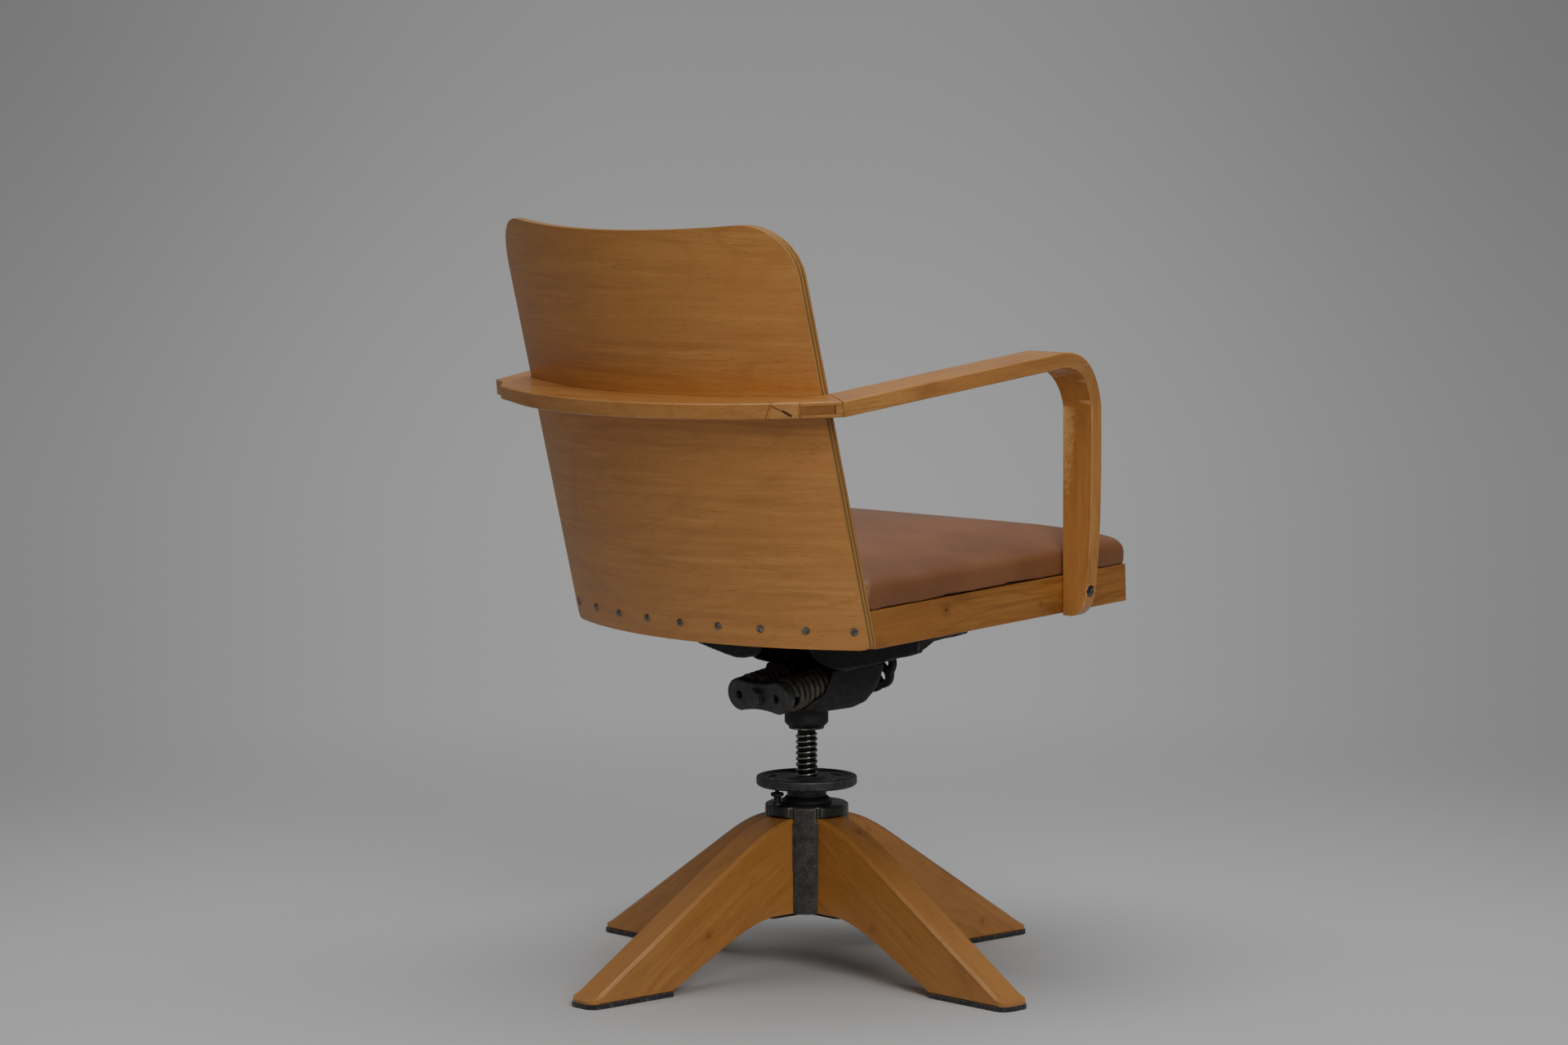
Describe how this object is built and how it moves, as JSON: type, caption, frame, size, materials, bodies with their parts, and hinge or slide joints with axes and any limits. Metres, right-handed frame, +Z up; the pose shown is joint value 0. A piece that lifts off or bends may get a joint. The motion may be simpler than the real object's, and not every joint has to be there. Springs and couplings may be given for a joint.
{
  "type": "swivel office chair",
  "caption": "Wooden desk armchair with a bowed back rail and padded seat, on a sprung tilt mechanism, a screw spindle with a handwheel, and splayed legs in a cast hub.",
  "frame": {"origin": "on the floor under the middle of the spindle", "axes": "+Z up, -Y the way the sitter faces, +X the sitter's left"},
  "size_m": [0.6846, 0.6846, 0.8692],
  "materials": {
    "lacquered_wood": "satin lacquer, honey brown",
    "plywood": "satin lacquer over fine horizontal grain, bare ply edges",
    "plain_wood": "unfinished",
    "cast_iron": "black satin enamel, slightly rough",
    "steel": "oiled",
    "aged_steel": "dull, aged",
    "leather": "smooth brown, soft sheen",
    "felt": "dark, worn"
  },
  "bodies": {
    "base": {"hub_casting": "cast_iron", "leg_left": "lacquered_wood", "leg_rear": "lacquered_wood", "leg_right": "lacquered_wood", "leg_front": "lacquered_wood", "foot_pad_left": "felt", "foot_pad_rear": "felt", "foot_pad_right": "felt", "foot_pad_front": "felt", "plate_screw_left": "steel", "plate_screw_rear": "steel", "plate_screw_right": "steel", "plate_screw_front": "steel", "hub_base_plate": "cast_iron", "thrust_collar": "cast_iron", "guide_key": "steel"},
    "lock_pin": {"lock_pin": "cast_iron"},
    "handwheel": {"handwheel": "cast_iron"},
    "spindle": {"spindle": "steel", "spindle_nut": "steel"},
    "bracket": {"tilt_bracket": "cast_iron", "thrust_washer": "steel", "pivot_pin": "steel", "spring_left": "aged_steel", "spring_right": "aged_steel"},
    "tension_rod": {"spring_yoke": "cast_iron", "tension_bolt": "cast_iron"},
    "tension_wheel": {"tension_wheel": "cast_iron"},
    "seat": {"seat_spider": "cast_iron", "back_bow": "lacquered_wood", "front_rail": "lacquered_wood", "side_rail_left": "lacquered_wood", "side_rail_right": "lacquered_wood", "arm_left": "lacquered_wood", "arm_right": "lacquered_wood", "arm_post_left": "lacquered_wood", "arm_post_right": "lacquered_wood", "back_panel": "plywood", "seat_bearer": "plain_wood", "rear_rail": "plain_wood", "seat_board": "plain_wood", "spider_screw_front_left": "steel", "spider_screw_front_right": "steel", "spider_screw_rear_left": "steel", "spider_screw_rear_right": "steel", "post_bolt_left": "steel", "post_bolt_right": "steel", "panel_screw_1": "aged_steel", "panel_screw_2": "aged_steel", "panel_screw_3": "aged_steel", "panel_screw_4": "aged_steel", "panel_screw_5": "aged_steel", "panel_screw_6": "aged_steel", "panel_screw_7": "aged_steel", "panel_screw_8": "aged_steel", "panel_screw_9": "aged_steel", "seat_cushion": "leather"}
  },
  "joints": [
    {"name": "handwheel_turn", "type": "hinge", "parent": "base", "child": "handwheel", "pos_m": [0, 0, 0.22], "axis": [0, 0, 1], "range_deg": [-4321, 2881]},
    {"name": "height_slide", "type": "slide", "parent": "base", "child": "spindle", "axis": [0, 0, 1], "range_m": [-0.052, 0.078]},
    {"name": "lock_pin_lift", "type": "slide", "parent": "base", "child": "lock_pin", "axis": [0, 0, 1], "range_m": [0, 0.0045]},
    {"name": "swivel", "type": "hinge", "parent": "spindle", "child": "bracket", "pos_m": [0, 0, 0.3], "axis": [0, 0, 1], "continuous": true},
    {"name": "tilt", "type": "hinge", "parent": "bracket", "child": "seat", "pos_m": [0, -0.038, 0.365], "axis": [-1, 0, 0], "range_deg": [0, 15], "stiffness_Nm_per_rad": 100, "springref_deg": -17.19},
    {"name": "rod_slide", "type": "slide", "parent": "bracket", "child": "tension_rod", "axis": [0, -0.9914, 0.1305], "range_m": [0, 0.0067], "deforming": ["spring_left", "spring_right"]},
    {"name": "tension_turn", "type": "hinge", "parent": "tension_rod", "child": "tension_wheel", "pos_m": [0, -0.10076, 0.34795], "axis": [0, -0.9914, 0.1305], "range_deg": [-720, 720]}
  ],
  "couplings": [
    {"joint": "handwheel_turn", "follows": "height_slide", "rad_per_m": -966.64},
    {"joint": "rod_slide", "follows": "tilt", "m_per_rad": 0.0251}
  ]
}
